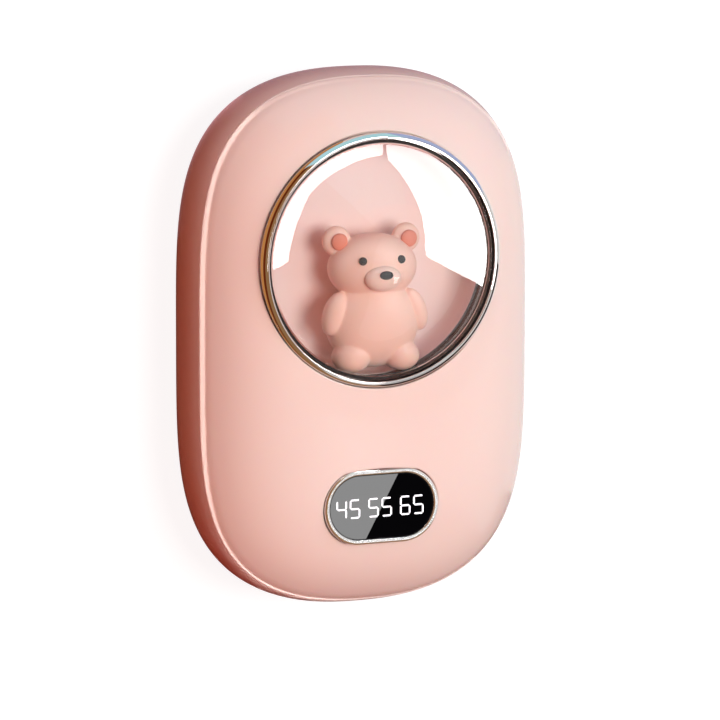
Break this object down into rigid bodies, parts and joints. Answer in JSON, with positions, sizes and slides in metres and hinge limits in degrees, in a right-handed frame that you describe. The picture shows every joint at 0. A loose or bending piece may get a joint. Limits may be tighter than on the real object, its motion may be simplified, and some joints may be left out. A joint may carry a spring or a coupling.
{
  "type": "rechargeable hand warmer",
  "caption": "Pebble-shaped battery hand warmer with a domed capsule holding a small toy bear, a pill-shaped numeric display, a side power button and a USB-C socket.",
  "frame": {"origin": "middle of the flat back, on the plane that the case rests on", "axes": "+Z out of the face, +Y towards the top of the case (the capsule end), +X to the right seen from the front"},
  "size_m": [0.07, 0.1039, 0.0364],
  "materials": {
    "case": "satin moulded",
    "cup": "satin moulded",
    "dome": "polished clear plastic",
    "chrome": "mirror plated",
    "seal": "matt",
    "toy": "soft moulded",
    "toy_muzzle": "soft moulded",
    "toy_coral": "painted",
    "toy_dark": "gloss painted",
    "window": "polished black",
    "segments": "lit",
    "black_plastic": "moulded",
    "white_plastic": "moulded",
    "contacts": "plated",
    "board": "solder mask",
    "steel": "plated",
    "pouch": "laminated foil",
    "wire": "extruded",
    "aluminium": "rolled",
    "film": "film"
  },
  "bodies": {
    "root": {"rear_shell": "case", "front_shell": "case", "capsule_cup": "cup", "capsule_dome": "dome", "dome_ring": "chrome", "dome_gasket": "seal", "bear_figure": "toy", "bear_muzzle": "toy_muzzle", "bear_ear_linings": "toy_coral", "bear_eyes": "toy_dark", "bear_nose": "toy_dark", "display_bezel": "chrome", "display_window": "window", "display_module": "black_plastic", "display_segments": "segments", "display_pins": "contacts", "main_board": "board", "usb_socket_shell": "steel", "usb_socket_tongue": "black_plastic", "side_switch": "black_plastic", "battery_cell": "pouch", "battery_foam": "seal", "battery_wires": "wire", "battery_header": "white_plastic", "battery_plug": "white_plastic", "heat_plate": "aluminium", "heating_film": "film", "heater_wires": "wire", "thermistor": "black_plastic", "control_chips": "black_plastic", "power_inductor": "seal", "capacitors": "contacts", "board_screws": "steel", "cup_screws": "steel"},
    "button": {"power_button": "case", "switch_plunger": "white_plastic"}
  },
  "joints": [
    {"name": "button_press", "type": "slide", "parent": "root", "child": "button", "axis": [-1, 0, 0], "range_m": [0, 0.0003], "stiffness_N_per_m": 4000, "springref_m": -0.00005}
  ]
}
